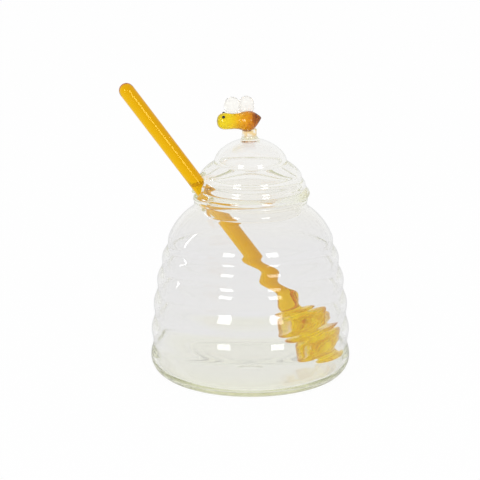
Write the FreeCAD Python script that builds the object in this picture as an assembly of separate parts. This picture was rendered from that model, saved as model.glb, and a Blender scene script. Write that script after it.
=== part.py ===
"""Honey pot of clear blown glass, shaped like a ribbed straw beehive.

The pot has a knocked-out lid with a glass bee for its knob, and an amber glass
dipper that stands in the pot and leaves through an arch in the lid's edge.
Millimetres, +Z up.  The origin is the centre of the base, on the table.
The dipper leans towards -X and the bee faces -X.
"""
import FreeCAD
import Part
import math
import os

V = FreeCAD.Vector
X_AXIS, Y_AXIS, Z_AXIS = V(1, 0, 0), V(0, 1, 0), V(0, 0, 1)

# ---- pot -------------------------------------------------------------------
pot_radius = 50.0          # widest, at the lowest rib
wall = 1.9                 # blown wall of the pot
floor = 4.0                # glass under the honey
corner_radius = 9.0        # outside, between base and wall
inner_corner_radius = 5.0  # inside, between floor and wall
punt_radius = 36.0         # the base is pushed up inside this ring
punt_rise = 0.9
mark_radius = 5.5          # finishing mark in the middle of the base
mark_depth = 0.5
crown_width = 24.0         # the wall follows a tall ellipse: half its width
crown_height = 77.0        # and its half height, above the lowest rib
rib_step = 10.5            # degrees round that ellipse from rib to rib
rib_count = 5
groove_depth = 1.1         # between two ribs, outside
inner_groove_depth = 0.5   # the hot glass bridges the mould's grooves inside
shoulder_roll = 30.0       # radius of the shoulder
neck_fillet = 3.6          # hollow between shoulder and neck
neck_radius = 28.0         # outside of the upright neck
lip_height = 90.5          # top of the lip above the table
lip_bead = 1.4             # radius of the fire-rounded lip

# ---- rests -----------------------------------------------------------------
seat_gap = 0.3             # glass on glass, where a piece only rests
wall_gap = 0.5             # between the dipper's head and the ribbed wall

# ---- lid -------------------------------------------------------------------
brim_radius = 29.3
brim_thickness = 1.9
brim_bevel = 0.5           # of the brim's lower edge
brim_taper = 0.3           # the brim's rounded upper edge ends this far in
lid_wall = 1.8
plug_gap = 0.9             # between the lid's plug and the neck
plug_wall = 1.8
plug_depth = 9.4           # below the brim
tier_radius = 24.9         # lower tier, at its top ring
tier_height = 10.8         # of that ring above the brim's underside
tier_ring_count = 2
tier_bulge = 0.5           # of the slope from that ring up to the groove
ring_depth = 0.5           # between two rings of the lid, outside
inner_ring_depth = 0.2
waist_height = 16.6        # of the groove under the dome, above the brim's underside
dome_radius = 18.0
dome_height = 11.7         # above the groove
crease_angle = 30.0        # of the ring groove round the dome, up from its base
stem_radius = 3.6
stem_flare = 1.4           # the stem is wider by this where it joins the dome
stem_height = 5.5          # from the dome's top into the bee
finial_offset = -0.6       # the stem was set by hand, a little off centre

# ---- arch for the dipper ---------------------------------------------------
arch_half_width = 8.0
arch_corner = 4.0          # rounded corner at the bottom of the plug
arch_gap = 0.6             # over the handle

# ---- bee -------------------------------------------------------------------
bee_rise = 8.6             # of the body's middle above the dome's top
bee_nose = 16.0            # from the stem to the nose
bee_head_radius = 4.15
bee_waist_radius = 3.9
bee_tail_radius = 5.1
bee_waist_angle = 46.0     # degrees round the tail, from straight ahead up to the waist
sting_length = 6.0         # from the middle of the tail
sting_root = 3.5           # radius of the sting's cone at the middle of the tail
sting_tip = 0.9
sting_lift = 16.0          # degrees upwards
eye_radius = 0.8
eye_spread = {"left": 50.0, "right": 28.0}      # degrees from the top of the head, by hand
eye_setback = 3.4          # behind the nose
eye_depth = 0.2            # the middle of each eye lies this far under the skin
wing_height = 4.9          # half sizes of a wing
wing_width = 3.9
wing_thickness = 1.2
wing_spread = 16.0         # degrees out to the side
wing_rake = 7.0            # degrees that each wing tips away from the other
wing_stagger = 3.5         # the left wing stands this far ahead of the middle
wing_setback = 11.0        # of the middle between them, behind the nose
wing_root = 1.2            # how deep a wing is stuck into the back

# ---- dipper ----------------------------------------------------------------
handle_radius = 3.8 
dipper_length = 174.4
head_radius = 13.8
head_half_length = 19.8    # of the barrel that the discs fill
head_middle = 18.6         # of that barrel above the foot
disc_pitch = 7.6
disc_thickness = 3.0       # at the rim, which is round
disc_root = 4.4            # thickness at the core
disc_drift = (0.0, 1.6, 1.4, 0.6, -0.2)      # made by hand: uneven spacing
disc_tilt = (16.0, 7.0, 11.0, 14.0, 14.0)    # and uneven tilt, in degrees
core_radius = 5.2
core_length = 35.0
core_taper = 6.0
foot_round = 2.0
dipper_offset = -5.0       # it leans in an upright plane this far from the pot's axis


def point(radius, height):
    return V(radius, 0, height)


def line(a, b):
    return Part.LineSegment(a, b).toShape()


def arc(a, middle, b):
    return Part.Arc(a, middle, b).toShape()


def round_arc(centre, radius, start, end):
    """Arc in the profile plane; angles in radians from the outward direction."""
    at = [centre + point(radius * math.cos(t), radius * math.sin(t))
          for t in (start, (start + end) / 2, end)]
    return arc(*at)


def tangent_arc(start, direction, end):
    """Arc from start, where it runs in the given direction, to end."""
    chord = end - start
    half_turn = direction.getAngle(chord)
    if half_turn < 1e-4:
        return line(start, end)
    along = V(direction).normalize() + V(chord).normalize()
    reach = chord.Length / (2 * math.cos(half_turn / 2))
    return arc(start, start + along.normalize() * reach, end)


def waves(crests, start, end):
    """Arcs over a row of ribs and grooves, with its directions at both ends."""
    middles = [(a + b) / 2 for a, b in zip(crests, crests[1:])]
    rows = zip(middles, crests[1:-1], middles[1:])
    return ([tangent_arc(crests[0], start, middles[0])]
            + [arc(*row) for row in rows]
            + [tangent_arc(crests[-1], end * -1, middles[-1])])


def turned(edges, axis=Z_AXIS):
    return Part.Face(Part.Wire(edges)).revolve(V(0, 0, 0), axis, 360)


def ellipse_point(centre, half_width, half_height, angle, depth):
    """Point at an angle round an upright ellipse, moved inwards by depth."""
    t = math.radians(angle)
    normal = point(half_height * math.cos(t), half_width * math.sin(t)).normalize()
    on_line = centre + point(half_width * math.cos(t), half_height * math.sin(t))
    return on_line - normal * depth


# ---- pot -------------------------------------------------------------------
crown_centre = point(pot_radius - crown_width, corner_radius)
shoulder_turn = rib_step * rib_count


def pot_wall(depth, groove):
    """Ribs and grooves of one face of the wall, from the base to the shoulder."""
    return [ellipse_point(crown_centre, crown_width, crown_height, rib_step * half_step / 2,
                          depth + (groove if half_step % 2 else 0.0))
            for half_step in range(2 * rib_count + 1)]


def shoulder():
    """Centres of the shoulder and neck arcs, and the slopes where they start."""
    slope = math.atan2(crown_width * math.sin(math.radians(shoulder_turn)),
                       crown_height * math.cos(math.radians(shoulder_turn)))
    start = pot_wall(0.0, groove_depth)[-1]
    roll = start - point(math.cos(slope), math.sin(slope)) * shoulder_roll
    across = neck_radius + neck_fillet - roll.x
    up = math.sqrt((shoulder_roll + neck_fillet) ** 2 - across ** 2)
    hollow = roll + point(across, up)
    return roll, hollow, slope, math.atan2(up, across)


def pot_face(depth, groove, first_point):
    """Edges of one face, from first_point on the wall to the lip."""
    roll, hollow, slope, meeting = shoulder()
    ribs = [first_point] + pot_wall(depth, groove)[1:]
    bead_middle = lip_height - lip_bead
    bead_foot = bead_middle - math.sqrt(lip_bead ** 2 - (wall / 2) ** 2)
    up_the_slope = point(-math.sin(slope), math.cos(slope))
    return waves(ribs, Z_AXIS, up_the_slope) + [
        round_arc(roll, shoulder_roll - depth, slope, meeting),
        round_arc(hollow, neck_fillet + depth, math.pi + meeting, math.pi),
        line(point(neck_radius - depth, hollow.z), point(neck_radius - depth, bead_foot)),
    ]


def make_pot():
    rest_radius = pot_radius - corner_radius
    inside = pot_radius - wall
    inside_foot = floor + inner_corner_radius
    outer = pot_face(0.0, groove_depth, point(pot_radius, corner_radius))
    inner = pot_face(wall, inner_groove_depth, point(inside, inside_foot))
    lip_foot = outer[-1].Vertexes[-1].Point
    lip_top = point(neck_radius - wall / 2, lip_height)
    mark_top = punt_rise + mark_depth
    underside = [
        line(point(0, mark_top), point(mark_radius - mark_depth, mark_top)),
        line(point(mark_radius - mark_depth, mark_top), point(mark_radius, punt_rise)),
        tangent_arc(point(mark_radius, punt_rise), X_AXIS, point(punt_radius, 0)),
        line(point(punt_radius, 0), point(rest_radius, 0)),
        round_arc(point(rest_radius, corner_radius), corner_radius, -math.pi / 2, 0),
    ]
    inner_corner = point(inside - inner_corner_radius, inside_foot)
    inside_floor = [
        round_arc(inner_corner, inner_corner_radius, 0, -math.pi / 2),
        line(point(inner_corner.x, floor), point(0, floor)),
        line(point(0, floor), point(0, mark_top)),
    ]
    lip = [arc(lip_foot, lip_top, lip_foot - point(wall, 0))]
    return turned(underside + outer + lip + inner[::-1] + inside_floor)


def pot_inside_radius(height):
    """Radius of the inner face of the pot's wall at a height."""
    if height < floor + inner_corner_radius:
        drop = floor + inner_corner_radius - height
        reach = math.sqrt(max(inner_corner_radius ** 2 - drop ** 2, 0.0))
        return pot_radius - wall - inner_corner_radius + reach
    rise = min(max((height - corner_radius) / crown_height, 0.0), 1.0)
    ribs_passed = math.degrees(math.asin(rise)) / rib_step
    groove = inner_groove_depth * (1 - math.cos(2 * math.pi * ribs_passed)) / 2
    return crown_centre.x + crown_width * math.sqrt(1 - rise ** 2) - wall - groove


# ---- dipper ----------------------------------------------------------------
rim_round = disc_thickness / 2


def discs():
    """Place along the axis, radius and tilt of each disc of the head."""
    found = []
    for number, (drift, tilt) in enumerate(zip(disc_drift, disc_tilt)):
        place = foot_round + number * disc_pitch + drift
        barrel = math.sqrt(1 - ((place - head_middle) / head_half_length) ** 2)
        found.append((place, head_radius * barrel, math.radians(tilt)))
    return found


def head_slack(foot_x, foot_z, lean):
    """Least distance from the head to the pot's wall, the foot at that place."""
    least = pot_radius
    for place, radius, tilt in discs():
        ring = radius - rim_round
        for step in range(-9, 10):
            side = math.radians(10 * step)
            out = ring * math.cos(side)
            x = foot_x - place * math.sin(lean) + out * math.cos(lean - tilt)
            y = dipper_offset + ring * math.sin(side)
            z = foot_z + place * math.cos(lean) + out * math.sin(lean - tilt)
            least = min(least, pot_inside_radius(z) - math.hypot(x, y) - rim_round)
    return least


def dipper_seat():
    """Foot and lean of the dipper: on the floor, against the wall and on the lip."""
    lip_ring = neck_radius - wall / 2
    lip_x = -math.sqrt(lip_ring ** 2 - dipper_offset ** 2)
    lip_z = lip_height - lip_bead
    off_lip = handle_radius + lip_bead + seat_gap
    foot_x, lean = pot_radius - head_radius, math.radians(35)
    for _ in range(40):
        drops = [(radius - rim_round) * math.sin(lean - tilt) + rim_round - place * math.cos(lean)
                 for place, radius, tilt in discs()]
        drops.append((core_radius - foot_round) * math.sin(lean) + foot_round * (1 - math.cos(lean)))
        foot_z = floor + seat_gap + max(drops)
        foot_x += head_slack(foot_x, foot_z, lean) - wall_gap
        across, up = foot_x - lip_x, lip_z - foot_z
        lean = math.atan2(across, up) - math.asin(off_lip / math.hypot(across, up))
    return foot_x, foot_z, lean


def make_disc(place, radius, tilt):
    ring = radius - rim_round
    root = disc_root / 2
    outline = [
        line(point(0, -root), point(core_radius, -root)),
        line(point(core_radius, -root), point(ring, -rim_round)),
        arc(point(ring, -rim_round), point(radius, 0), point(ring, rim_round)),
        line(point(ring, rim_round), point(core_radius, root)),
        line(point(core_radius, root), point(0, root)),
        line(point(0, root), point(0, -root)),
    ]
    disc = turned(outline)
    disc.rotate(V(0, 0, 0), Y_AXIS, math.degrees(tilt))
    disc.translate(V(0, 0, place))
    return disc


def make_dipper():
    """Rod with a round end, and a head of uneven discs on a thicker core."""
    end = dipper_length - handle_radius
    top_of_core = core_length + core_taper
    rod = turned([
        line(point(0, 0), point(core_radius - foot_round, 0)),
        round_arc(point(core_radius - foot_round, foot_round), foot_round, -math.pi / 2, 0),
        line(point(core_radius, foot_round), point(core_radius, core_length)),
        line(point(core_radius, core_length), point(handle_radius, top_of_core)),
        line(point(handle_radius, top_of_core), point(handle_radius, end)),
        round_arc(point(0, end), handle_radius, 0, math.pi / 2),
        line(point(0, dipper_length), point(0, 0)),
    ])
    body = rod.multiFuse([make_disc(*disc) for disc in discs()]).removeSplitter()
    foot_x, foot_z, lean = dipper_seat()
    body.rotate(V(0, 0, 0), Y_AXIS, -math.degrees(lean))
    body.translate(V(foot_x, dipper_offset, foot_z))
    return body


# ---- lid -------------------------------------------------------------------
brim = lip_height + seat_gap          # underside of the brim
waist = brim + waist_height
dome_top = waist + dome_height
bee_height = dome_top + bee_rise      # middle of the bee's body
plug_radius = neck_radius - wall / 2 - lip_bead - plug_gap


def lid_tier(depth, ring):
    """Rings and grooves of one face of the lower tier, from the brim upwards."""
    low = point(brim_radius - brim_taper, brim + brim_thickness)
    high = point(tier_radius, brim + tier_height)
    along = high - low
    inwards = point(-along.z, along.x).normalize()
    steps = 2 * tier_ring_count
    rings = []
    for step in range(steps + 1):
        groove = ring if step % 2 else 0.0
        rings.append(low + along * (step / steps) + inwards * (depth + groove))
    return rings, along


def lid_dome(angle, depth):
    return ellipse_point(point(0, waist), dome_radius, dome_height, angle, depth)


def lid_face(depth, ring):
    """Edges of one face of the lid above the brim, from the brim to the axis."""
    rings, along = lid_tier(depth, ring)
    top_ring, groove = rings[-1], lid_dome(0, depth)
    slope = groove - top_ring
    bulge = point(slope.z, -slope.x).normalize() * tier_bulge
    crease = lid_dome(crease_angle, depth + ring)
    return waves(rings, along, along) + [
        arc(top_ring, (top_ring + groove) / 2 + bulge, groove),
        arc(groove, lid_dome(crease_angle / 2, depth), crease),
        tangent_arc(point(0, dome_top - depth), X_AXIS, crease),
    ]


def make_arch():
    """Cutter for the arch that the dipper's handle leaves through."""
    foot_x, foot_z, lean = dipper_seat()
    way_out = -math.sqrt(tier_radius ** 2 - dipper_offset ** 2)
    over_handle = foot_x + handle_radius / math.cos(lean) - way_out
    top = foot_z + over_handle / math.tan(lean) + arch_gap
    spring = top - arch_half_width
    foot = brim - plug_depth
    w, c = arch_half_width, arch_corner
    bend = c * (1 - math.sqrt(0.5))

    def at(y, z):
        return V(-2 * pot_radius, dipper_offset + y, z)

    outline = [
        line(at(-w - c, foot - c), at(-w - c, foot)),
        arc(at(-w - c, foot), at(-w - bend, foot + bend), at(-w, foot + c)),
        line(at(-w, foot + c), at(-w, spring)),
        arc(at(-w, spring), at(0, top), at(w, spring)),
        line(at(w, spring), at(w, foot + c)),
        arc(at(w, foot + c), at(w + bend, foot + bend), at(w + c, foot)),
        line(at(w + c, foot), at(w + c, foot - c)),
        line(at(w + c, foot - c), at(-w - c, foot - c)),
    ]
    reach = 2 * pot_radius - plug_radius / 2
    return Part.Face(Part.Wire(outline)).extrude(V(reach, 0, 0))


def make_stem():
    """Short clear stem that carries the bee, wider where it joins the dome."""
    foot = dome_top - lid_wall / 2
    top = dome_top + stem_height
    flare_rise = 2 * stem_flare
    stem = turned([
        line(point(0, foot), point(stem_radius + stem_flare, foot)),
        tangent_arc(point(stem_radius, foot + flare_rise), Z_AXIS * -1,
                    point(stem_radius + stem_flare, foot)),
        line(point(stem_radius, foot + flare_rise), point(stem_radius, top)),
        line(point(stem_radius, top), point(0, top)),
        line(point(0, top), point(0, foot)),
    ])
    stem.translate(V(finial_offset, 0, 0))
    return stem


def make_lid(bee_body):
    plug_foot = brim - plug_depth
    plug_inside = plug_radius - plug_wall
    outer, inner = lid_face(0.0, ring_depth), lid_face(lid_wall, inner_ring_depth)
    brim_top, inner_start = outer[0].Vertexes[0].Point, inner[0].Vertexes[0].Point
    outline = [
        line(point(plug_inside, inner_start.z), point(plug_inside, plug_foot + plug_wall / 2)),
        arc(point(plug_inside, plug_foot + plug_wall / 2), point(plug_radius - plug_wall / 2, plug_foot),
            point(plug_radius, plug_foot + plug_wall / 2)),
        line(point(plug_radius, plug_foot + plug_wall / 2), point(plug_radius, brim)),
        line(point(plug_radius, brim), point(brim_radius - brim_bevel, brim)),
        line(point(brim_radius - brim_bevel, brim), point(brim_radius, brim + brim_bevel)),
        line(point(brim_radius, brim + brim_bevel), point(brim_radius, brim + brim_thickness / 2)),
        tangent_arc(point(brim_radius, brim + brim_thickness / 2), Z_AXIS, brim_top),
    ] + outer + [line(point(0, dome_top), point(0, dome_top - lid_wall))] + inner[::-1] + [
        line(inner_start, point(plug_inside, inner_start.z)),
    ]
    lid = turned(outline).cut(make_arch())
    return lid.fuse(make_stem()).cut(bee_body).removeSplitter()


# ---- bee -------------------------------------------------------------------
def make_bee_body():
    """Round head and back, a fuller round tail over the stem, and a short sting."""
    tail = V(0, 0, 0)
    turn = math.radians(bee_waist_angle)
    waist_end = V(-bee_tail_radius * math.cos(turn), 0, bee_tail_radius * math.sin(turn))
    nose = V(-bee_nose, 0, 0)
    brow = nose + V(bee_head_radius, 0, bee_head_radius)
    head_end = brow + V(bee_head_radius, 0, 0)
    body = turned([
        tangent_arc(nose, Z_AXIS, brow),
        line(brow, head_end),
        arc(head_end, V((head_end.x + waist_end.x) / 2, 0, bee_waist_radius), waist_end),
        arc(waist_end, V(0, 0, bee_tail_radius), V(bee_tail_radius, 0, 0)),
        line(V(bee_tail_radius, 0, 0), nose),
    ], X_AXIS)
    sting = Part.makeCone(sting_root, sting_tip, sting_length, tail, X_AXIS)
    sting.rotate(tail, Y_AXIS, -sting_lift)
    body = body.fuse(sting).removeSplitter()
    body.translate(V(finial_offset, 0, bee_height))
    return body


def make_eye(side, name):
    spread = math.radians(eye_spread[name])
    off = bee_head_radius - eye_depth
    return Part.makeSphere(eye_radius, V(finial_offset - bee_nose + eye_setback,
                                         side * off * math.sin(spread),
                                         bee_height + off * math.cos(spread)))


def make_wing(side):
    """Flattened drop of glass that stands on the back and leans out to its side."""
    squeeze = FreeCAD.Matrix()
    squeeze.scale(wing_width, wing_thickness, wing_height)
    wing = Part.makeSphere(1.0).transformGeometry(squeeze)
    wing.rotate(V(0, 0, 0), X_AXIS, -side * wing_spread)
    wing.rotate(V(0, 0, 0), Y_AXIS, side * wing_rake)
    back = bee_height + bee_waist_radius
    wing.translate(V(finial_offset - bee_nose + wing_setback + side * wing_stagger,
                     side * wing_thickness, back - wing_root + wing_height))
    return wing


def one_solid(shape):
    return max(shape.Solids, key=lambda solid: solid.Volume)


def make_all():
    eyes = {"eye_left": make_eye(-1, "left"), "eye_right": make_eye(1, "right")}
    bee_body = make_bee_body()
    for eye in eyes.values():
        bee_body = bee_body.cut(eye)
    wing_left = make_wing(-1).cut(bee_body)
    wing_right = make_wing(1).cut(bee_body).cut(wing_left)
    pieces = {"pot": make_pot(), "lid": make_lid(bee_body), "dipper": make_dipper(),
              "bee_body": bee_body, "wing_left": wing_left, "wing_right": wing_right}
    pieces.update(eyes)
    return {name: one_solid(shape) for name, shape in pieces.items()}


os.makedirs("parts", exist_ok=True)
for name, solid in make_all().items():
    solid.exportStep(f"parts/{name}.step")
    print(name, "valid", solid.isValid(), "volume", round(solid.Volume, 1))
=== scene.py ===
import math

import bpy
import numpy as np
from mathutils import Matrix, Vector


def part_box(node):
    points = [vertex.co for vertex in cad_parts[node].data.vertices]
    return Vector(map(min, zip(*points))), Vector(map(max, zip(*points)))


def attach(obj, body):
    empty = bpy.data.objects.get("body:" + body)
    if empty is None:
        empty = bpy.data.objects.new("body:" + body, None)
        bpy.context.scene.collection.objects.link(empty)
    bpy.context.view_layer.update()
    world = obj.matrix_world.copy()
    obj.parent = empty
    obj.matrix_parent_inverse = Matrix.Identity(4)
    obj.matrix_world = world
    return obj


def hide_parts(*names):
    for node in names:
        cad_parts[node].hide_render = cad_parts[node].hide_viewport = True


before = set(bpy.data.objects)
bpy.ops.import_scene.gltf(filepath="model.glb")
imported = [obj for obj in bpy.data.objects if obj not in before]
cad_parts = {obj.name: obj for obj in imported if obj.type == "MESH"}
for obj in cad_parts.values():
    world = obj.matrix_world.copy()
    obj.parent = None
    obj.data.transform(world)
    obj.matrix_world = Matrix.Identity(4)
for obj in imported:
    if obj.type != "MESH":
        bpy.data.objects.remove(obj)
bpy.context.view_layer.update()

MM = 0.001

# ---- sizes in millimetres, the same as the solids ------------------------------------
POT_RADIUS, WALL, FLOOR = 50.0, 1.9, 4.0
CORNER_RADIUS, INNER_CORNER_RADIUS = 9.0, 5.0
PUNT_RADIUS, PUNT_RISE, MARK_RADIUS, MARK_DEPTH = 36.0, 0.9, 5.5, 0.5
CROWN_WIDTH, CROWN_HEIGHT = 24.0, 77.0
RIB_STEP, RIB_COUNT, RIB_SHARPNESS = 10.5, 5, 1.15
GROOVE_DEPTH, INNER_GROOVE_DEPTH = 1.1, 0.5
SHOULDER_ROLL, NECK_FILLET, NECK_RADIUS = 30.0, 3.6, 28.0
LIP_HEIGHT, LIP_BEAD = 90.5, 1.4

LID_CLEARANCE, PLUG_CLEARANCE = 0.3, 0.9
BRIM_Z = LIP_HEIGHT + LID_CLEARANCE
BRIM_RADIUS, BRIM_THICKNESS, BRIM_EDGE_START = 29.3, 1.9, 0.9
LID_WALL, PLUG_WALL, PLUG_DEPTH, PLUG_FILLET = 1.8, 1.8, 9.4, 0.8
PLUG_RADIUS = NECK_RADIUS - WALL / 2 - LIP_BEAD - PLUG_CLEARANCE
TIER_INSET, TIER_RADIUS, TIER_HEIGHT, TIER_RINGS = 0.3, 24.9, 10.8, 2
RING_DEPTH, INNER_RING_DEPTH, TIER_BULGE = 0.5, 0.2, 0.5
WAIST_HEIGHT = 16.6
WAIST_Z = BRIM_Z + WAIST_HEIGHT
DOME_RADIUS, DOME_HEIGHT, CREASE_ANGLE = 18.0, 11.7, 30.0
DOME_TOP = WAIST_Z + DOME_HEIGHT
STEM_RADIUS, STEM_TOP, STEM_ROUND = 3.6, 5.0, 0.4
STEM_FLARE, FLARE_RISE, FLARE_SHARPNESS = 1.4, 2.6, 2.2
FINIAL_OFFSET = -0.6
ARCH_HALF_WIDTH, ARCH_CORNER, ARCH_TOP = 8.0, 4.0, 102.38

DIPPER_OFFSET = -5.0
DIPPER_LEAN = math.radians(36.493)
DIPPER_FOOT_X, DIPPER_FOOT_Z = 41.293, 6.595
DIPPER_LENGTH, HANDLE_RADIUS = 174.4, 3.8
HEAD_RADIUS, HEAD_HALF_LENGTH, HEAD_MIDDLE = 13.8, 19.8, 18.6
DISC_PITCH, DISC_THICKNESS, DISC_ROOT = 7.6, 3.0, 4.4
DISC_DRIFT = (0.0, 1.6, 1.4, 0.6, -0.2)
DISC_TILT = (16.0, 7.0, 11.0, 14.0, 14.0)
CORE_RADIUS, CORE_LENGTH, FOOT_ROUND = 5.2, 35.0, 2.0
TAPER_START, TAPER_LENGTH = CORE_LENGTH + 1.0, 6.0

BEE_RISE = 8.6
BEE_Z = DOME_TOP + BEE_RISE
BEE_NOSE, HEAD_SIZE, WAIST_SIZE, TAIL_SIZE = 16.0, 4.15, 3.9, 5.1

# ---- softness and unevenness of the worked glass -------------------------------------
SOFT_STEP = 0.12
OUTER_SOFTNESS, INNER_SOFTNESS = 2.6, 6.0
BEND_FOOT, BEND_TOP = 0.5, 3.4
FIRE_POLISH, POLISH_SEGMENTS, POLISH_ANGLE, SHARP_ANGLE = 0.45, 3, 50, 40
FOOT_START, FOOT_TUCK = 0.05, 0.8
TAPER_TILT, TAPER_CURVE = 6.0, 1.3
HAND_DRAWN, DRAWN_WAVE, DRAWN_START, TIP_FILL = 0.04, 0.06, 1.0, 0.98
RIM_UNEVENNESS, RIM_LOBES, RIM_TWIST = 0.025, 2, 0.9
FLANK_WAVE, FLANK_LOBES, FLANK_TWIST, FLANK_DROP = 0.35, 3, 0.5, 4.0
DROP_FILL, BEE_FILL, WING_FOOT_POWER = 0.995, 0.99, 0.66

# The turned pieces stray inwards by shares of their radius, in waves of
# (strength, lobes, twist per millimetre, start) whose strengths add up to 2.
WOBBLE = 0.0012
WOBBLE_WAVES = ((1.0, 2, 0.05, 0.7), (0.6, 5, -0.11, 2.1), (0.4, 9, 0.17, 4.0))

# ---- fineness of the meshes ----------------------------------------------------------
POT_COLUMNS, POT_FOOT_ROWS, POT_WALL_ROWS, POT_FLOOR_ROWS = 240, 46, 380, 36
LID_COLUMNS, LID_ROWS = 256, 420
DIPPER_COLUMNS = 96
BEE_COLUMNS, BEE_ROWS = 72, 90
DROP_COLUMNS, DROP_ROWS = 56, 40


# ---- curves --------------------------------------------------------------------------
def shares(count):
    """Even shares of a way, from the first one after 0 up to 1."""
    return np.linspace(0, 1, count + 1)[1:]


def around(count):
    """Angles of evenly spaced columns round a ring."""
    return np.linspace(0, 2 * math.pi, count, endpoint=False)


def swell(turns):
    """0 at whole turns, 1 half-way between them."""
    return (1 - math.cos(2 * math.pi * turns)) / 2


def arc_points(cx, cz, radius, start, end, count):
    """Points (r, z) of an arc in the profile plane; angles in radians."""
    return [(cx + radius * math.cos(t), cz + radius * math.sin(t))
            for t in np.linspace(start, end, count)]


def ellipse_point(cx, cz, width, height, angle, inset):
    """Point (r, z) of an upright ellipse, moved in by inset; the angle is in degrees."""
    t = math.radians(angle)
    nx, nz = height * math.cos(t), width * math.sin(t)
    size = math.hypot(nx, nz)
    return (cx + width * math.cos(t) - inset * nx / size,
            cz + height * math.sin(t) - inset * nz / size)


def run_lengths(points):
    """Length run at each point of a polyline."""
    steps = np.linalg.norm(np.diff(points, axis=0), axis=1)
    return np.concatenate([[0], np.cumsum(steps)])


def resample(points, count):
    """count points evenly spaced along a polyline."""
    pts = np.array(points, float)
    step = np.linalg.norm(np.diff(pts, axis=0), axis=1)
    pts = pts[np.concatenate([[True], step > 1e-6])]
    run = run_lengths(pts)
    want = np.linspace(0, run[-1], count)
    return np.stack([np.interp(want, run, pts[:, k]) for k in range(2)], axis=1)


def soften(points, reach):
    """Rounds the turns of a profile over a stretch of the given length; its ends stay."""
    length = run_lengths(np.array(points))[-1]
    line = resample(points, int(length / SOFT_STEP))
    half = int(reach / SOFT_STEP / 2)
    kernel = np.hanning(2 * half + 3)[1:-1]
    before = 2 * line[0] - line[half:0:-1]
    after = 2 * line[-1] - line[-2:-half - 2:-1]
    padded = np.concatenate([before, line, after])
    smooth = [np.convolve(padded[:, k], kernel / kernel.sum(), "valid") for k in range(2)]
    return [tuple(p) for p in np.stack(smooth, axis=1)]


def smooth_curve(xs, ys, at):
    """Smooth curve through points, with no overshoot at the turns."""
    xs, ys = np.asarray(xs, float), np.asarray(ys, float)
    width = np.diff(xs)
    steep = np.diff(ys) / width
    slope = np.zeros(len(xs))
    for k in range(1, len(xs) - 1):
        if steep[k - 1] * steep[k] > 0:
            before, after = 2 * width[k] + width[k - 1], width[k] + 2 * width[k - 1]
            slope[k] = (before + after) / (before / steep[k - 1] + after / steep[k])
    slope[0], slope[-1] = steep[0], steep[-1]
    k = np.clip(np.searchsorted(xs, at) - 1, 0, len(width) - 1)
    s = (at - xs[k]) / width[k]
    from_left = ys[k] * (1 + 2 * s) + slope[k] * width[k] * s
    from_right = ys[k + 1] * (3 - 2 * s) + slope[k + 1] * width[k] * (s - 1)
    return from_left * (1 - s) ** 2 + from_right * s ** 2


# ---- meshes --------------------------------------------------------------------------
def fix_outside(mesh):
    """Turns the faces so that they look outwards."""
    co = np.empty(len(mesh.vertices) * 3)
    mesh.vertices.foreach_get("co", co)
    co = co.reshape(-1, 3)
    volume = 0.0
    for face in mesh.polygons:
        a = co[face.vertices[0]]
        for k in range(1, len(face.vertices) - 1):
            volume += np.dot(a, np.cross(co[face.vertices[k]], co[face.vertices[k + 1]]))
    if volume < 0:
        mesh.flip_normals()


def add_mesh(name, verts, faces):
    """New object in the scene, with its faces outwards; verts in metres."""
    mesh = bpy.data.meshes.new(name)
    mesh.from_pydata(verts, [], faces)
    mesh.validate()
    mesh.update()
    fix_outside(mesh)
    obj = bpy.data.objects.new(name, mesh)
    bpy.context.scene.collection.objects.link(obj)
    return obj


def rings_mesh(name, rings):
    """Closed smooth mesh from rings of points; the first and last rings close in a point each."""
    rings = np.asarray(rings, float) * MM
    rows, cols = rings.shape[:2]
    between = rings[1:-1].reshape(-1, 3)
    verts = [rings[0].mean(axis=0), *between, rings[-1].mean(axis=0)]
    last_row, last_vert = rows - 3, len(verts) - 1

    def at(row, col):
        return 1 + row * cols + col % cols

    faces = []
    for col in range(cols):
        faces.append((0, at(0, col + 1), at(0, col)))
        faces.append((last_vert, at(last_row, col), at(last_row, col + 1)))
    for row in range(last_row):
        for col in range(cols):
            low = (at(row, col), at(row, col + 1))
            high = (at(row + 1, col + 1), at(row + 1, col))
            faces.append(low + high)
    obj = add_mesh(name, [tuple(v) for v in verts], faces)
    obj.data.shade_smooth()
    return obj


def hand_wobble(angles, z):
    """Small unevenness of blown glass, never outwards of the true round."""
    wave = sum(strength * np.sin(lobes * angles + twist * z + start)
               for strength, lobes, twist, start in WOBBLE_WAVES)
    return 1 - WOBBLE * (1 + wave / 2)


def turned_rings(profile, count):
    """Slightly uneven rings round +Z of a profile of (r, z) points."""
    angles = around(count)
    rings = []
    for r, z in profile:
        k = hand_wobble(angles, z)
        rings.append(np.stack([r * k * np.cos(angles), r * k * np.sin(angles),
                               np.full(count, z)], axis=1))
    return rings


# ---- pot -----------------------------------------------------------------------------
def crown_point(angle, depth, groove):
    """Point of the ribbed wall at an angle up its ellipse, set in by depth and by the grooves."""
    inset = depth + groove * swell(angle / RIB_STEP) ** RIB_SHARPNESS
    return ellipse_point(POT_RADIUS - CROWN_WIDTH, CORNER_RADIUS, CROWN_WIDTH, CROWN_HEIGHT,
                         angle, inset)


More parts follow.
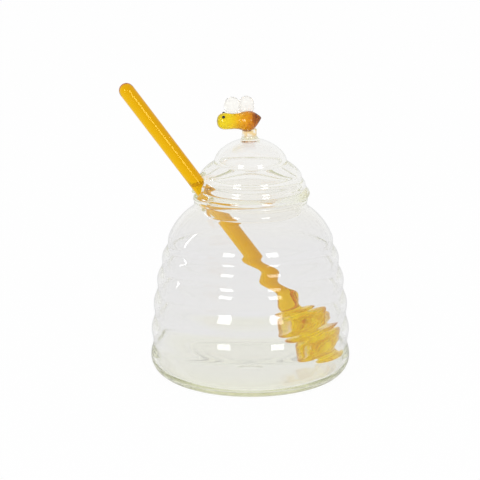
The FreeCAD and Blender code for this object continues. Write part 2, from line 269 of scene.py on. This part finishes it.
def pot_face(depth, groove):
    """One face of the wall, from the lowest rib over the rolled shoulder to the lip's foot."""
    last = RIB_STEP * RIB_COUNT
    points = [crown_point(a, depth, groove) for a in np.linspace(0, last, 40 * RIB_COUNT)]
    slope = math.atan2(CROWN_WIDTH * math.sin(math.radians(last)),
                       CROWN_HEIGHT * math.cos(math.radians(last)))
    start_x, start_z = crown_point(last, 0, 0)
    roll_x = start_x - math.cos(slope) * SHOULDER_ROLL
    roll_z = start_z - math.sin(slope) * SHOULDER_ROLL
    across = NECK_RADIUS + NECK_FILLET - roll_x
    up = math.sqrt((SHOULDER_ROLL + NECK_FILLET) ** 2 - across ** 2)
    meeting = math.atan2(up, across)
    points += arc_points(roll_x, roll_z, SHOULDER_ROLL - depth, slope, meeting, count=24)[1:]
    points += arc_points(roll_x + across, roll_z + up, NECK_FILLET + depth,
                         math.pi + meeting, math.pi, count=14)[1:]
    bead_foot = LIP_HEIGHT - LIP_BEAD - math.sqrt(LIP_BEAD ** 2 - (WALL / 2) ** 2)
    points.append((NECK_RADIUS - depth, bead_foot))
    return points


def pot_underside():
    """From the mark in the middle over the punt to the foot, and round the lower corner."""
    mark_top = PUNT_RISE + MARK_DEPTH
    rest = POT_RADIUS - CORNER_RADIUS
    under = [(0, mark_top), (MARK_RADIUS - MARK_DEPTH, mark_top), (MARK_RADIUS, PUNT_RISE)]
    for r in np.linspace(MARK_RADIUS, PUNT_RADIUS, 20)[1:]:
        under.append((r, PUNT_RISE * (1 - (r / PUNT_RADIUS) ** 2)))
    under.append((rest, 0.0))
    return under + arc_points(rest, CORNER_RADIUS, CORNER_RADIUS, -math.pi / 2, 0, count=24)[1:]


def pot_profile():
    """Closed profile: underside, outer wall, beaded lip, inner wall and floor."""
    middle = NECK_RADIUS - WALL / 2
    half = math.asin(WALL / 2 / LIP_BEAD)
    bead = arc_points(middle, LIP_HEIGHT - LIP_BEAD, LIP_BEAD,
                      half - math.pi / 2, 1.5 * math.pi - half, count=26)
    wall = pot_face(0.0, GROOVE_DEPTH) + bead + pot_face(WALL, INNER_GROOVE_DEPTH)[::-1]
    inner_x = POT_RADIUS - WALL - INNER_CORNER_RADIUS
    inside = arc_points(inner_x, FLOOR + INNER_CORNER_RADIUS, INNER_CORNER_RADIUS,
                        0, -math.pi / 2, count=18)
    inside += [(r, FLOOR) for r in np.linspace(inner_x, 0, 16)[1:]]
    under = pot_underside()
    return [under[0], *resample(under, POT_FOOT_ROWS)[1:-1],
            *resample(wall, POT_WALL_ROWS), *resample(inside, POT_FLOOR_ROWS)[1:]]


# ---- lid -----------------------------------------------------------------------------
def dome_point(angle, inset):
    return ellipse_point(0, WAIST_Z, DOME_RADIUS, DOME_HEIGHT, angle, inset)


def tier_points(depth, ring):
    """The ringed tier, from the brim up to its shoulder."""
    low = np.array([BRIM_RADIUS - TIER_INSET, BRIM_Z + BRIM_THICKNESS])
    high = np.array([TIER_RADIUS, BRIM_Z + TIER_HEIGHT])
    along = high - low
    inward = np.array([-along[1], along[0]]) / np.linalg.norm(along)
    return [tuple(low + along * s + inward * (depth + ring * swell(TIER_RINGS * s)))
            for s in np.linspace(0, 1, 60)]


def shoulder_points(top, foot):
    """Rounded step from the tier's shoulder in to the dome's foot."""
    way = foot - top
    out = np.array([way[1], -way[0]]) / np.linalg.norm(way)
    return [tuple(top + way * s + out * TIER_BULGE * 4 * s * (1 - s)) for s in shares(23)]


def lid_face(depth, ring):
    """One face of the lid above the brim, from the brim up to the crown."""
    points = tier_points(depth, ring)
    points += shoulder_points(np.array(points[-1]), np.array(dome_point(0, depth)))
    for s in shares(19):
        points.append(dome_point(CREASE_ANGLE * s, depth + ring * swell(s / 2)))
    crease_r, crease_z = dome_point(CREASE_ANGLE, depth + ring)
    top = DOME_TOP - depth
    rise = top - crease_z
    ball = (crease_r ** 2 + rise ** 2) / (2 * rise)
    for r in np.linspace(crease_r, 0, 50)[1:]:
        points.append((r, top - ball + math.sqrt(ball ** 2 - r ** 2)))
    return points


def stem_points(join_z):
    """Flat top, rounded edge and flared foot of the stem, down to the dome."""
    top = DOME_TOP + STEM_TOP
    points = [(0, top), (STEM_RADIUS - STEM_ROUND, top), (STEM_RADIUS, top - STEM_ROUND)]
    for s in shares(11)[::-1]:
        points.append((STEM_RADIUS + STEM_FLARE * (1 - s) ** FLARE_SHARPNESS, join_z + FLARE_RISE * s))
    return points


def plug_points():
    """Fillet under the brim, then down the plug and round its foot."""
    root, foot = PLUG_RADIUS + PLUG_FILLET, BRIM_Z - PLUG_DEPTH
    points = [(root, BRIM_Z)]
    points += arc_points(root, BRIM_Z - PLUG_FILLET, PLUG_FILLET, math.pi / 2, math.pi, count=6)
    points += arc_points(PLUG_RADIUS - PLUG_WALL / 2, foot + PLUG_WALL / 2, PLUG_WALL / 2,
                         0, -math.pi, count=16)
    return points


def bend_points(end_r, end_z):
    """Soft bend on the inside, from the plug out to the tier's inner face."""
    start_r, start_z = PLUG_RADIUS - PLUG_WALL, BRIM_Z - BEND_FOOT
    return [(start_r + (end_r - start_r) * s ** 2 * (3 - 2 * s), start_z + (end_z - start_z) * s)
            for s in np.linspace(0, 1, 14)]


def lid_profile():
    """Closed profile: stem, dome, tier, brim and plug, then back up the inside."""
    outer = soften(lid_face(0.0, RING_DEPTH), OUTER_SOFTNESS)
    inner = soften(lid_face(LID_WALL, INNER_RING_DEPTH), INNER_SOFTNESS)
    outer = [(r, z) for r, z in outer if r > STEM_RADIUS + STEM_FLARE]
    inner = [(r, z) for r, z in inner if z > BRIM_Z + BEND_TOP]
    stem = stem_points(outer[-1][1])
    half = BRIM_THICKNESS / 2
    edge = arc_points(BRIM_RADIUS - half, BRIM_Z + half, half, BRIM_EDGE_START, -math.pi / 2, count=14)
    wall = stem[1:] + outer[::-1] + edge + plug_points() + bend_points(*inner[0]) + inner[1:]
    return [stem[0], *resample(wall, LID_ROWS)]


def shift_finial(ring):
    """Moves the stem sideways, as the bee stands a little off the lid's axis."""
    blend_start, blend_length, margin = DOME_TOP - 1.0, 2.0, 1.0
    share = np.clip((ring[:, 2] - blend_start) / blend_length, 0, 1)
    share *= np.hypot(ring[:, 0], ring[:, 1]) < STEM_RADIUS + STEM_FLARE + margin
    return ring + np.outer(share, [FINIAL_OFFSET, 0, 0])


def arch_cutter():
    """Prism with the arch's outline, in the plane that the dipper leans in."""
    w, c = ARCH_HALF_WIDTH, ARCH_CORNER
    splay, lead, first_angle = 4.0, 0.2, 0.05
    foot, spring = BRIM_Z - PLUG_DEPTH, ARCH_TOP - w
    half = [(w + c + splay, foot - c), (w + c, foot - lead)]
    for t in np.linspace(first_angle, math.pi / 2, 12):
        half.append((w + c - c * math.sin(t), foot + c - c * math.cos(t)))
    half += [(w, z) for z in np.linspace(foot + c, spring, 8)[1:]]
    half += arc_points(0, spring, w, 0, math.pi / 2, count=20)[1:]
    outline = half + [(-y, z) for y, z in half[::-1][1:]]
    near, far = -PLUG_RADIUS / 2, -2 * POT_RADIUS
    verts = [(x * MM, (DIPPER_OFFSET + y) * MM, z * MM) for x in (near, far) for y, z in outline]
    n = len(outline)
    faces = [tuple(range(n)), tuple(range(2 * n - 1, n - 1, -1))]
    faces += [(k, (k + 1) % n, n + (k + 1) % n, n + k) for k in range(n)]
    return add_mesh("arch_cutter", verts, faces)


def make_lid():
    """The turned lid with its arch cut out and the cut's edges rounded as by a flame."""
    rings = [shift_finial(ring) for ring in turned_rings(lid_profile(), LID_COLUMNS)]
    lid = rings_mesh("lid_glass", rings)
    cutter = arch_cutter()
    cut = lid.modifiers.new("arch", "BOOLEAN")
    cut.object = cutter
    cut.operation = "DIFFERENCE"
    cut.solver = "EXACT"
    polish = lid.modifiers.new("fire_polish", "BEVEL")
    polish.width = FIRE_POLISH * MM
    polish.segments = POLISH_SEGMENTS
    polish.limit_method = "ANGLE"
    polish.angle_limit = math.radians(POLISH_ANGLE)
    graph = bpy.context.evaluated_depsgraph_get()
    finished = bpy.data.meshes.new_from_object(lid.evaluated_get(graph))
    lid.modifiers.clear()
    lid.data = finished
    bpy.data.objects.remove(cutter)
    finished.shade_smooth()
    finished.set_sharp_from_angle(angle=math.radians(SHARP_ANGLE))
    return lid


# ---- dipper --------------------------------------------------------------------------
def disc_stations(place, radius, tilt):
    """One disc of the head: up its lower side, round its rim and down its upper side."""
    rim = DISC_THICKNESS / 2
    low, high = place - DISC_ROOT / 2, place + DISC_ROOT / 2
    flank = radius - rim - CORE_RADIUS
    root = CORE_RADIUS - (FOOT_TUCK if low < FOOT_START else 0)
    side = [(max(low, FOOT_START), root)]
    side += [(low + (place - rim - low) * s, CORE_RADIUS + flank * s) for s in shares(7)]
    side += [(place + rim * math.sin(t), radius - rim + rim * math.cos(t))
             for t in np.linspace(-math.pi / 2, math.pi / 2, 13)[1:-1]]
    side += [(high + (place + rim - high) * s, CORE_RADIUS + flank * s) for s in shares(7)[::-1]]
    side.append((high, CORE_RADIUS))
    return [(z, r, tilt) for z, r in side]


def handle_stations():
    """Taper above the head, then the slightly uneven handle and its round tip."""
    stations = [(TAPER_START, CORE_RADIUS, TAPER_TILT)]
    for s in shares(7):
        radius = CORE_RADIUS + (HANDLE_RADIUS - CORE_RADIUS) * s ** TAPER_CURVE
        stations.append((TAPER_START + TAPER_LENGTH * s, radius, TAPER_TILT * (1 - s)))
    start, end = TAPER_START + TAPER_LENGTH, DIPPER_LENGTH - HANDLE_RADIUS
    for s in shares(59):
        z = start + (end - start) * s
        uneven = HAND_DRAWN * (1 + math.sin(DRAWN_WAVE * z + DRAWN_START))
        stations.append((z, HANDLE_RADIUS - uneven, 0.0))
    for t in math.pi / 2 * shares(9):
        stations.append((end + HANDLE_RADIUS * math.sin(t), HANDLE_RADIUS * math.cos(t) * TIP_FILL, 0.0))
    return stations


def dipper_stations():
    """Stations along the axis: (place, radius, tilt in degrees) of the whole dipper."""
    stations = [(0.0, 0.0, DISC_TILT[0])]
    for number, (drift, tilt) in enumerate(zip(DISC_DRIFT, DISC_TILT)):
        place = FOOT_ROUND + number * DISC_PITCH + drift
        barrel = math.sqrt(1 - ((place - HEAD_MIDDLE) / HEAD_HALF_LENGTH) ** 2)
        stations += disc_stations(place, HEAD_RADIUS * barrel, tilt)
    return stations + handle_stations()


def make_dipper():
    """Head and handle in one mesh, leaned into its place in the pot."""
    angles = around(DIPPER_COLUMNS)
    rings = []
    for place, radius, tilt in dipper_stations():
        grow = max(radius - CORE_RADIUS, 0) / (HEAD_RADIUS - CORE_RADIUS)
        rim = 1 + np.sin(RIM_LOBES * angles + RIM_TWIST * place)
        r = radius * (1 - RIM_UNEVENNESS * grow * rim)
        x, y = r * np.cos(angles), r * np.sin(angles)
        wave = FLANK_WAVE * grow * np.sin(FLANK_LOBES * angles + FLANK_TWIST * place)
        z = place - x * math.tan(math.radians(tilt)) + wave
        lowest = place - FLANK_DROP if place > 0 else place
        rings.append(np.stack([x, y, np.maximum(z, lowest)], axis=1))
    dipper = rings_mesh("dipper_glass", rings)
    lean = Matrix.Rotation(-DIPPER_LEAN, 4, "Y")
    foot = Vector((DIPPER_FOOT_X, DIPPER_OFFSET, DIPPER_FOOT_Z)) * MM
    dipper.data.transform(Matrix.Translation(foot) @ lean)
    return dipper


# ---- bee -----------------------------------------------------------------------------
# Head marks are (place from the nose, radius). Tail marks are (place from the stem's
# middle, radius, lift), and they rise because the tail turns up.
HEAD_MARKS = ((0.0, 0.0), (0.35, 1.9), (1.2, 3.15), (2.4, 3.85), (4.0, HEAD_SIZE),
              (6.5, HEAD_SIZE - 0.12), (9.0, WAIST_SIZE))
TAIL_MARKS = ((-5.2, WAIST_SIZE + 0.1, 0.0), (-3.4, 4.6, 0.0), (-1.4, TAIL_SIZE, 0.0),
              (0.6, TAIL_SIZE - 0.1, 0.05), (2.2, 4.2, 0.3), (3.5, 3.1, 0.7), (4.5, 2.0, 1.1),
              (5.3, 1.0, 1.45), (5.85, 0.0, 1.6))


def make_bee_body():
    """Head, back and tail in one drop of glass whose tail turns up."""
    marks = [(place - BEE_NOSE, radius, 0.0) for place, radius in HEAD_MARKS]
    marks = np.array(marks + list(TAIL_MARKS))
    run = run_lengths(marks[:, :2])
    want = np.linspace(0, run[-1], BEE_ROWS)
    smooth = np.stack([smooth_curve(run, marks[:, k], want) for k in range(3)], axis=1)
    angles = around(BEE_COLUMNS)
    rings = []
    for x, radius, lift in smooth:
        r = max(radius, 0.0) * BEE_FILL
        rings.append(np.stack([np.full(BEE_COLUMNS, FINIAL_OFFSET + x), r * np.cos(angles),
                               BEE_Z + lift + r * np.sin(angles)], axis=1))
    return rings_mesh("bee_glass", rings)


def drop(name, node, foot_power=1.0):
    """Drop of glass that fills the box of a CAD node; a power below 1 makes its lower half fuller."""
    low, high = (np.array(c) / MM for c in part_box(node))
    middle, half = (low + high) / 2, (high - low) / 2 * DROP_FILL
    angles = around(DROP_COLUMNS)
    rings = []
    for v in np.linspace(-math.pi / 2, math.pi / 2, DROP_ROWS):
        power = 1.0 if v > 0 else foot_power
        flat = abs(math.cos(v)) ** power
        rise = math.copysign(abs(math.sin(v)) ** power, v)
        unit = np.stack([flat * np.cos(angles), flat * np.sin(angles),
                         np.full(DROP_COLUMNS, rise)], axis=1)
        rings.append(middle + half * unit)
    return rings_mesh(name, rings)


# ---- shader helpers ------------------------------------------------------------------
def new_material(name):
    mat = bpy.data.materials.new(name)
    mat.use_nodes = True
    nodes, links = mat.node_tree.nodes, mat.node_tree.links
    return mat, nodes, links, nodes["Principled BSDF"]


def set_inputs(node, values):
    """Sets a node's inputs by their names."""
    for name, value in values.items():
        node.inputs[name].default_value = value


def math_node(nodes, operation, factor=None):
    """Maths node; a factor stands as its second value."""
    node = nodes.new("ShaderNodeMath")
    node.operation = operation
    if factor is not None:
        node.inputs[1].default_value = factor
    return node


def map_range(nodes, start, end, low=0.0, high=1.0):
    """Node that takes start..end to low..high."""
    node = nodes.new("ShaderNodeMapRange")
    set_inputs(node, {"From Min": start, "From Max": end, "To Min": low, "To Max": high})
    return node


def colour_mix(nodes, blend="MIX"):
    mix = nodes.new("ShaderNodeMix")
    mix.data_type, mix.blend_type = "RGBA", blend
    return mix


def colour_ramp(nodes, stops):
    """Ramp through stops of (place, colour)."""
    ramp = nodes.new("ShaderNodeValToRGB")
    first, last = ramp.color_ramp.elements
    first.position, first.color = stops[0][0], (*stops[0][1], 1)
    last.position, last.color = stops[-1][0], (*stops[-1][1], 1)
    for position, colour in stops[1:-1]:
        ramp.color_ramp.elements.new(position).color = (*colour, 1)
    return ramp


def place_along(nodes, links, where, direction, start, end):
    """0 to 1 between two places (in mm) along a direction in the object's own space."""
    dot = nodes.new("ShaderNodeVectorMath")
    dot.operation = "DOT_PRODUCT"
    dot.inputs[1].default_value = direction
    along = map_range(nodes, start * MM, end * MM)
    links.new(where.outputs["Object"], dot.inputs[0])
    links.new(dot.outputs["Value"], along.inputs["Value"])
    return along.outputs["Result"]


def noise_at(nodes, links, where, values):
    """Noise in the object's own space; gives its value."""
    noise = nodes.new("ShaderNodeTexNoise")
    set_inputs(noise, values)
    links.new(where.outputs["Object"], noise.inputs["Vector"])
    return noise.outputs["Fac"]


def absorb(nodes, links, colour, density):
    """Colour that deepens with the glass's thickness; the density is per metre."""
    volume = nodes.new("ShaderNodeVolumeAbsorption")
    set_inputs(volume, {"Color": (*colour, 1), "Density": density})
    links.new(volume.outputs["Volume"], nodes["Material Output"].inputs["Volume"])


def ripple(nodes, links, shader, scale, strength, distance, stretch=(1, 1, 1)):
    """Faint waves of hand-worked glass; gives the coordinates and the bump node."""
    where = nodes.new("ShaderNodeTexCoord")
    turn = nodes.new("ShaderNodeMapping")
    turn.inputs["Scale"].default_value = stretch
    noise = nodes.new("ShaderNodeTexNoise")
    set_inputs(noise, {"Scale": scale, "Detail": 1.5})
    bump = nodes.new("ShaderNodeBump")
    set_inputs(bump, {"Strength": strength, "Distance": distance})
    links.new(where.outputs["Object"], turn.inputs["Vector"])
    links.new(turn.outputs["Vector"], noise.inputs["Vector"])
    links.new(noise.outputs["Fac"], bump.inputs["Height"])
    links.new(bump.outputs["Normal"], shader.inputs["Normal"])
    return where, bump


# ---- clear glass ---------------------------------------------------------------------
GLASS_IOR = 1.47
OLIVE, OLIVE_DENSITY = (0.80, 0.82, 0.45), 7.0


def clear_glass(name, tint):
    """Clear blown glass; its thick places look faintly olive."""
    mat, nodes, links, shader = new_material(name)
    set_inputs(shader, {"Base Color": (*tint, 1), "Transmission Weight": 1.0,
                        "Roughness": 0.0, "IOR": GLASS_IOR})
    absorb(nodes, links, OLIVE, OLIVE_DENSITY)
    ripple(nodes, links, shader, scale=45.0, strength=0.08, distance=0.0003, stretch=(1, 1, 1.6))
    return mat


def tint_by_height(mat, low, high, stops, mottle=None):
    """Colours the glass by its height in the object's own space; mottle breaks it into patches."""
    nodes, links = mat.node_tree.nodes, mat.node_tree.links
    where = nodes.new("ShaderNodeTexCoord")
    height = place_along(nodes, links, where, (0, 0, 1), low, high)
    ramp = colour_ramp(nodes, stops)
    if mottle:
        patch = map_range(nodes, 0.40, 0.62)
        share = math_node(nodes, "MULTIPLY")
        links.new(noise_at(nodes, links, where, {"Scale": mottle}), patch.inputs["Value"])
        links.new(height, share.inputs[0])
        links.new(patch.outputs["Result"], share.inputs[1])
        height = share.outputs[0]
    links.new(height, ramp.inputs["Fac"])
    links.new(ramp.outputs["Color"], nodes["Principled BSDF"].inputs["Base Color"])
    return mat


def pot_glass():
    """Olive in the thick foot, neutral in the ribbed wall, clearest in the neck."""
    stops = [(0.0, (0.91, 0.91, 0.82)), (0.06, (0.91, 0.91, 0.85)), (0.14, (0.908, 0.905, 0.905)),
             (0.78, (0.908, 0.905, 0.91)), (0.92, (0.95, 0.942, 0.92))]
    mat = clear_glass("clear_pot_glass", (0.905, 0.902, 0.91))
    return tint_by_height(mat, 0, LIP_HEIGHT, stops)


def lid_glass():
    """The lid's glass, with amber drawn down into the stem where the bee is fused on."""
    clear_tint = (0.965, 0.96, 0.95)
    stops = [(0.0, clear_tint), (0.5, (0.94, 0.78, 0.50)), (1.0, (0.90, 0.52, 0.12))]
    amber_start, amber_full = DOME_TOP - 0.8, DOME_TOP + 2.4
    mat = clear_glass("clear_lid_glass", clear_tint)
    return tint_by_height(mat, amber_start, amber_full, stops, mottle=330.0)


# ---- amber glass ---------------------------------------------------------------------
HEAD_COLOUR_END, HANDLE_COLOUR_START = 30.0, 44.0
HEAD_RIPPLE, HANDLE_RIPPLE = 1.0, 0.0
# Painted shade: the handle's stops run from yellow on its underside to darker orange on its upper side.
HANDLE_SHADE_STOPS = [(0.0, (0.93, 0.60, 0.001)), (0.40, (0.88, 0.49, 0.001)), (1.0, (0.66, 0.30, 0.001))]
# Painted shade: the head's stops darken both its sides to orange; the bright yellow between is its own
# colour.
HEAD_SIDE_SHADE_STOPS = [(0.0, (0.82, 0.40, 0.001)), (0.20, (1.0, 0.84, 0.002)),
              (0.78, (1.0, 0.82, 0.002)), (1.0, (0.74, 0.34, 0.001))]
STREAK_STOPS = [(0.0, (0.66, 0.40, 0.2)), (0.44, (0.88, 0.76, 0.6)), (0.56, (1, 1, 1)), (1.0, (1, 1, 1))]


def amber_glass():
    """Amber handle with painted shade that darkens it to orange towards its upper side, and a streaked
    yellow head with painted shade darkening both its sides, worked in one piece.
    """
    mat, nodes, links, shader = new_material("amber_glass")
    where, bump = ripple(nodes, links, shader, scale=260.0, strength=1.0, distance=0.0007)
    axis = Vector((-math.sin(DIPPER_LEAN), 0, math.cos(DIPPER_LEAN)))
    side = Vector((math.cos(DIPPER_LEAN), 0, math.sin(DIPPER_LEAN)))
    foot = Vector((DIPPER_FOOT_X, DIPPER_OFFSET, DIPPER_FOOT_Z))
    along, across = foot.dot(axis), foot.dot(side)
    handle_share = place_along(nodes, links, where, axis,
                               along + HEAD_COLOUR_END, along + HANDLE_COLOUR_START)
    # Painted shade across the handle, darker towards its upper side.
    handle_shade_across = place_along(nodes, links, where, side, across - HANDLE_RADIUS, across + HANDLE_RADIUS)
    # Painted shade across the head, darker towards both its sides.
    head_side_shade = place_along(nodes, links, where, side, across - HEAD_RADIUS, across + HEAD_RADIUS)
    handle, head = colour_ramp(nodes, HANDLE_SHADE_STOPS), colour_ramp(nodes, HEAD_SIDE_SHADE_STOPS)
    streak = colour_ramp(nodes, STREAK_STOPS)
    streaks = noise_at(nodes, links, where, {"Scale": 190.0, "Detail": 2.0})
    toned = colour_mix(nodes, "MULTIPLY")
    toned.inputs["Factor"].default_value = 1.0
    mix = colour_mix(nodes)
    calm = map_range(nodes, 0.0, 1.0, HEAD_RIPPLE, HANDLE_RIPPLE)
    links.new(streaks, streak.inputs["Fac"])
    links.new(head_side_shade, head.inputs["Fac"])
    links.new(head.outputs["Color"], toned.inputs["A"])
    links.new(streak.outputs["Color"], toned.inputs["B"])
    links.new(handle_shade_across, handle.inputs["Fac"])
    links.new(handle_share, mix.inputs["Factor"])
    links.new(toned.outputs["Result"], mix.inputs["A"])
    links.new(handle.outputs["Color"], mix.inputs["B"])
    links.new(mix.outputs["Result"], shader.inputs["Base Color"])
    links.new(handle_share, calm.inputs["Value"])
    links.new(calm.outputs["Result"], bump.inputs["Strength"])
    set_inputs(shader, {"Transmission Weight": 1.0, "Roughness": 0.0, "IOR": GLASS_IOR,
                        "Specular Tint": (1.0, 0.80, 0.22, 1)})
    absorb(nodes, links, colour=(0.98, 0.92, 0.05), density=90.0)
    return mat


# ---- the bee's glass -----------------------------------------------------------------
BEE_STOPS = [(0.0, (0.30, 0.14, 0.01)), (0.045, (0.95, 0.78, 0.01)), (0.30, (0.98, 0.74, 0.008)),
             (0.50, (1.0, 0.56, 0.002)), (0.66, (0.94, 0.42, 0.002)), (0.80, (0.74, 0.26, 0.002)),
             (0.90, (0.46, 0.12, 0.002)), (1.0, (0.28, 0.06, 0.002))]
SWIRL_STOPS = [(0.30, (0.34, 0.16, 0.06)), (0.46, (0.86, 0.74, 0.6)), (0.58, (1, 1, 1)), (1.0, (1, 1, 1))]
TAIL_COLOUR_END = 5.6


def bee_glass():
    """Yellow head to brown tail, with brown swirls that grow towards the tail."""
    mat, nodes, links, shader = new_material("bee_glass")
    where, _ = ripple(nodes, links, shader, scale=260.0, strength=0.15, distance=0.0004)
    along = place_along(nodes, links, where, (1, 0, 0),
                        FINIAL_OFFSET - BEE_NOSE, FINIAL_OFFSET + TAIL_COLOUR_END)
    ramp, brown = colour_ramp(nodes, BEE_STOPS), colour_ramp(nodes, SWIRL_STOPS)
    swirl = noise_at(nodes, links, where, {"Scale": 260.0, "Distortion": 1.2})
    tail_share = map_range(nodes, 0.42, 0.72, low=0.15, high=0.9)
    toned = colour_mix(nodes, "MULTIPLY")
    links.new(along, ramp.inputs["Fac"])
    links.new(swirl, brown.inputs["Fac"])
    links.new(along, tail_share.inputs["Value"])
    links.new(tail_share.outputs["Result"], toned.inputs["Factor"])
    links.new(ramp.outputs["Color"], toned.inputs["A"])
    links.new(brown.outputs["Color"], toned.inputs["B"])
    links.new(toned.outputs["Result"], shader.inputs["Base Color"])
    set_inputs(shader, {"Coat Weight": 0.2, "Coat Roughness": 0.02, "Transmission Weight": 0.6,
                        "Roughness": 0.05, "IOR": GLASS_IOR, "Specular Tint": (1.0, 0.85, 0.5, 1)})
    return mat


def white_glass():
    """Cloudy white glass of the wings; its low index keeps their edges soft."""
    mat, nodes, links, shader = new_material("white_glass")
    set_inputs(shader, {"Base Color": (0.975, 0.965, 0.93, 1), "Transmission Weight": 0.7,
                        "Roughness": 0.5, "IOR": 1.18})
    ripple(nodes, links, shader, scale=220.0, strength=0.3, distance=0.0004)
    return mat


def black_glass():
    mat, nodes, links, shader = new_material("black_glass")
    set_inputs(shader, {"Base Color": (0.008, 0.006, 0.005, 1), "Roughness": 0.08})
    ripple(nodes, links, shader, scale=500.0, strength=0.1, distance=0.0002)
    return mat


# ---- pieces --------------------------------------------------------------------------
def dress(obj, material, node):
    obj.data.materials.clear()
    obj.data.materials.append(material)
    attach(obj, "root")
    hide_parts(node)


def make_pieces():
    pot = rings_mesh("pot_glass", turned_rings(pot_profile(), POT_COLUMNS))
    dress(pot, pot_glass(), "pot")
    dress(make_lid(), lid_glass(), "lid")
    dress(make_dipper(), amber_glass(), "dipper")
    dress(make_bee_body(), bee_glass(), "bee_body")
    white, black = white_glass(), black_glass()
    for side in ("left", "right"):
        wing = drop(f"wing_glass_{side}", f"wing_{side}", WING_FOOT_POWER)
        dress(wing, white, f"wing_{side}")
        dress(drop(f"eye_glass_{side}", f"eye_{side}"), black, f"eye_{side}")


# ---- floor and world -----------------------------------------------------------------
FLOOR_REACH, FLOOR_MATT, FLOOR_WHITE = 3.0, 0.9, 0.98
ROOM_BELOW, ROOM_ABOVE = (0.70, 0.70, 0.70), (0.56, 0.56, 0.58)
SEEN_THROUGH_GLASS, SEEN_MIRRORED = 0.95, 0.2


def background_share(nodes, links):
    """How much of the white background a ray sees: all of it plainly, less through glass or mirrored."""
    path = nodes.new("ShaderNodeLightPath")
    through = math_node(nodes, "MULTIPLY", SEEN_THROUGH_GLASS)
    mirrored = math_node(nodes, "MULTIPLY", SEEN_MIRRORED)
    plain, share = math_node(nodes, "MAXIMUM"), math_node(nodes, "MAXIMUM")
    links.new(path.outputs["Is Transmission Ray"], through.inputs[0])
    links.new(path.outputs["Is Glossy Ray"], mirrored.inputs[0])
    links.new(path.outputs["Is Camera Ray"], plain.inputs[0])
    links.new(through.outputs[0], plain.inputs[1])
    links.new(plain.outputs[0], share.inputs[0])
    links.new(mirrored.outputs[0], share.inputs[1])
    return share.outputs[0]


def make_floor():
    """Matt white floor that keeps a faint share of the object's shadow."""
    reach = FLOOR_REACH
    corners = [(-reach, -reach, 0), (reach, -reach, 0), (reach, reach, 0), (-reach, reach, 0)]
    floor = add_mesh("floor", corners, [(0, 1, 2, 3)])
    mat, nodes, links, shader = new_material("white_floor")
    set_inputs(shader, {"Base Color": (FLOOR_MATT, FLOOR_MATT, FLOOR_MATT, 1),
                        "Roughness": 1.0, "Specular IOR Level": 0.0})
    glow = nodes.new("ShaderNodeEmission")
    white = math_node(nodes, "MULTIPLY", FLOOR_WHITE)
    mix = nodes.new("ShaderNodeMixShader")
    links.new(background_share(nodes, links), white.inputs[0])
    links.new(white.outputs[0], mix.inputs["Fac"])
    links.new(shader.outputs[0], mix.inputs[1])
    links.new(glow.outputs[0], mix.inputs[2])
    links.new(mix.outputs[0], nodes["Material Output"].inputs["Surface"])
    floor.data.materials.append(mat)


def make_world():
    """White where the background shows; for light and reflections a plain room, greyer overhead."""
    world = bpy.data.worlds.new("studio")
    bpy.context.scene.world = world
    world.use_nodes = True
    nodes, links = world.node_tree.nodes, world.node_tree.links
    where = nodes.new("ShaderNodeTexCoord")
    split = nodes.new("ShaderNodeSeparateXYZ")
    room = colour_ramp(nodes, [(0.3, ROOM_BELOW), (0.8, ROOM_ABOVE)])
    mix = colour_mix(nodes)
    mix.inputs["B"].default_value = (1, 1, 1, 1)
    links.new(where.outputs["Generated"], split.inputs[0])
    links.new(split.outputs["Z"], room.inputs["Fac"])
    links.new(background_share(nodes, links), mix.inputs["Factor"])
    links.new(room.outputs["Color"], mix.inputs["A"])
    links.new(mix.outputs["Result"], nodes["Background"].inputs["Color"])


# ---- lamps and camera, in metres and degrees; lens and sensor in millimetres ---------
LAMP_DISTANCE, LAMP_TARGET = 1.2, Vector((0, 0, 0.06))
CAMERA_PLACE, CAMERA_PITCH = (-0.0052, -0.950, 0.318), 14.77
LENS, SENSOR = 148.2, 36.0
LIGHT_BOUNCES = 64


def softbox(name, azimuth, elevation, width, height, power):
    """Upright area lamp that looks at the pot; azimuth 0 is on the camera's side."""
    lamp = bpy.data.lights.new(name, "AREA")
    lamp.shape = "RECTANGLE"
    lamp.size, lamp.size_y = width, height
    lamp.energy = power
    obj = bpy.data.objects.new(name, lamp)
    bpy.context.scene.collection.objects.link(obj)
    a, e = math.radians(azimuth), math.radians(elevation)
    towards = Vector((math.sin(a) * math.cos(e), -math.cos(a) * math.cos(e), math.sin(e)))
    obj.location = LAMP_TARGET + towards * LAMP_DISTANCE
    obj.rotation_euler = (-towards).to_track_quat("-Z", "Y").to_euler()
    # Seen through the handle, a lamp's bent image would be a jagged bright line.
    obj.visible_transmission = False


def make_camera():
    cam = bpy.data.cameras.new("camera")
    cam.sensor_fit, cam.sensor_width = "HORIZONTAL", SENSOR
    cam.lens = LENS
    obj = bpy.data.objects.new("camera", cam)
    bpy.context.scene.collection.objects.link(obj)
    obj.location = CAMERA_PLACE
    obj.rotation_euler = (math.radians(90 - CAMERA_PITCH), 0, 0)
    bpy.context.scene.camera = obj


make_pieces()
make_floor()
make_world()
softbox("softbox_left", azimuth=-31, elevation=21, width=0.32, height=0.46, power=3.6)
softbox("softbox_right", azimuth=31, elevation=21, width=0.32, height=0.46, power=3.6)
softbox("strip_left", azimuth=-104, elevation=24, width=0.05, height=0.50, power=0.7)
make_camera()
scene = bpy.context.scene
scene.view_settings.view_transform = "Standard"
# Light needs many turns to leave stacked glass walls; fewer would blacken their edges.
scene.cycles.max_bounces = LIGHT_BOUNCES
scene.cycles.transmission_bounces = LIGHT_BOUNCES
scene.cycles.glossy_bounces = LIGHT_BOUNCES
